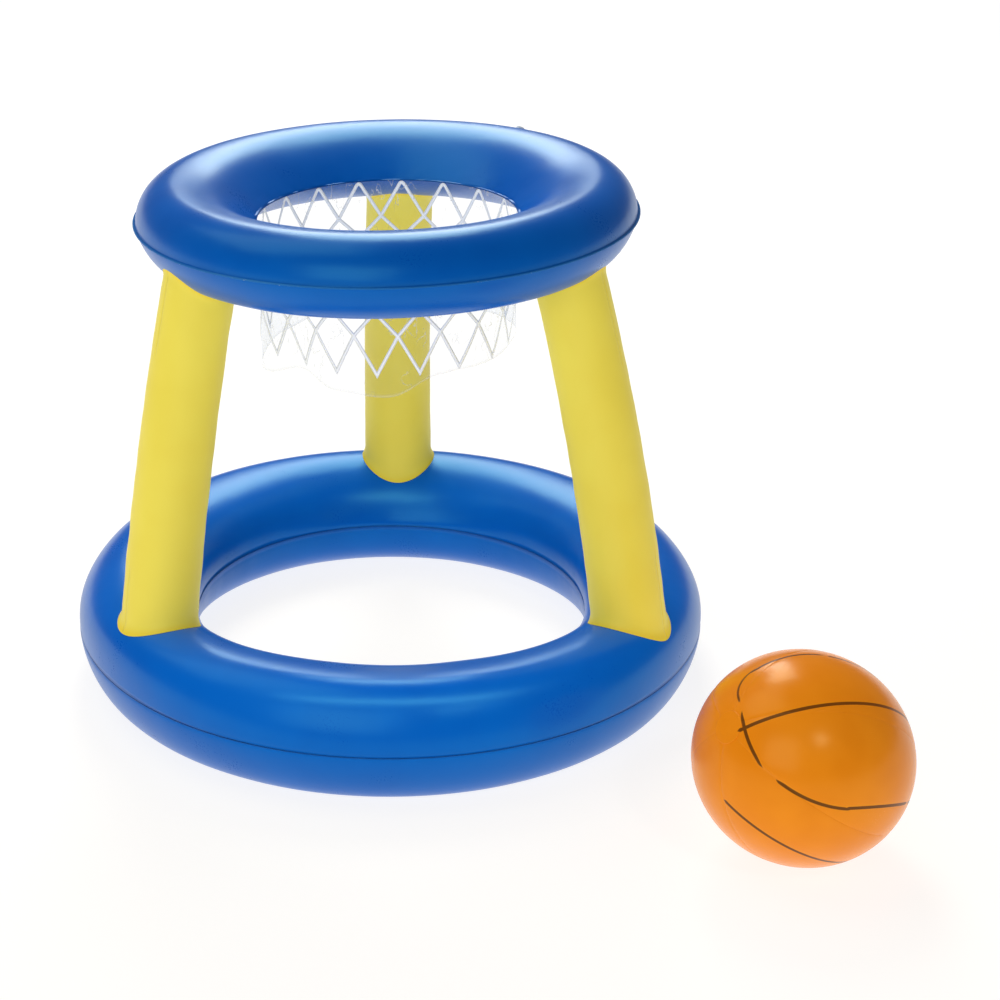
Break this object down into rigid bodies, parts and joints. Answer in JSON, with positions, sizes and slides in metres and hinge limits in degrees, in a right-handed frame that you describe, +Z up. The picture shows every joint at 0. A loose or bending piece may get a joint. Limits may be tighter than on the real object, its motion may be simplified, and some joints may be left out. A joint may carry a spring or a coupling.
{
  "type": "inflatable pool basketball hoop",
  "caption": "Inflatable floating hoop: ring base, leaning tube legs, hoop ring with a clear film net skirt, and a matching inflatable ball beside it.",
  "frame": {"origin": "middle of the set's outline, at the level it stands on", "axes": "+Z up, the open front of the hoop faces -Y, the loose ball lies towards +X and -Y"},
  "size_m": [0.7638, 0.756, 0.5038],
  "materials": {
    "blue_vinyl": "smooth glossy vinyl film",
    "yellow_vinyl": "smooth satin vinyl film",
    "orange_vinyl": "smooth satin vinyl film",
    "clear_vinyl": "clear soft film",
    "white_ink": "printed white ink",
    "valve_vinyl": "translucent soft vinyl"
  },
  "bodies": {
    "hoop_frame": {"base_ring_upper_sheet": "blue_vinyl", "base_ring_lower_sheet": "blue_vinyl", "rear_leg": "yellow_vinyl", "front_left_leg": "yellow_vinyl", "front_right_leg": "yellow_vinyl", "hoop_ring_upper_sheet": "blue_vinyl", "hoop_ring_lower_sheet": "blue_vinyl", "net_skirt": "clear_vinyl", "net_lattice": "white_ink", "base_valve_seat": "valve_vinyl", "hoop_valve_seat": "valve_vinyl"},
    "ball": {"ball_gore_1": "orange_vinyl", "ball_gore_2": "orange_vinyl", "ball_gore_3": "orange_vinyl", "ball_gore_4": "orange_vinyl", "ball_gore_5": "orange_vinyl", "ball_gore_6": "orange_vinyl", "ball_plain_pole_patch": "orange_vinyl", "ball_valve_pole_patch": "orange_vinyl", "ball_valve_seat": "valve_vinyl"},
    "base_valve_stem": {"base_valve_stem": "valve_vinyl", "base_valve_flap": "valve_vinyl"},
    "base_valve_plug": {"base_valve_plug": "valve_vinyl"},
    "hoop_valve_stem": {"hoop_valve_stem": "valve_vinyl", "hoop_valve_flap": "valve_vinyl"},
    "hoop_valve_plug": {"hoop_valve_plug": "valve_vinyl"},
    "ball_valve_stem": {"ball_valve_stem": "valve_vinyl", "ball_valve_flap": "valve_vinyl"},
    "ball_valve_plug": {"ball_valve_plug": "valve_vinyl"}
  },
  "joints": [
    {"name": "ball_lift", "type": "slide", "parent": "hoop_frame", "child": "ball", "axis": [0, 0, 1], "range_m": [0, 0.6]},
    {"name": "base_valve_stem_slide", "type": "slide", "parent": "hoop_frame", "child": "base_valve_stem", "axis": [0.5132, 0.7329, 0.4466], "range_m": [0, 0.01]},
    {"name": "base_valve_plug_slide", "type": "slide", "parent": "base_valve_stem", "child": "base_valve_plug", "axis": [0.5132, 0.7329, 0.4466], "range_m": [0, 0.012]},
    {"name": "hoop_valve_stem_slide", "type": "slide", "parent": "hoop_frame", "child": "hoop_valve_stem", "axis": [0.3971, 0.6065, 0.6889], "range_m": [0, 0.01]},
    {"name": "hoop_valve_plug_slide", "type": "slide", "parent": "hoop_valve_stem", "child": "hoop_valve_plug", "axis": [0.3971, 0.6065, 0.6889], "range_m": [0, 0.012]},
    {"name": "ball_valve_stem_slide", "type": "slide", "parent": "ball", "child": "ball_valve_stem", "axis": [0.7176, 0.4432, -0.5373], "range_m": [0, 0.01]},
    {"name": "ball_valve_plug_slide", "type": "slide", "parent": "ball_valve_stem", "child": "ball_valve_plug", "axis": [0.7176, 0.4432, -0.5373], "range_m": [0, 0.012]}
  ]
}
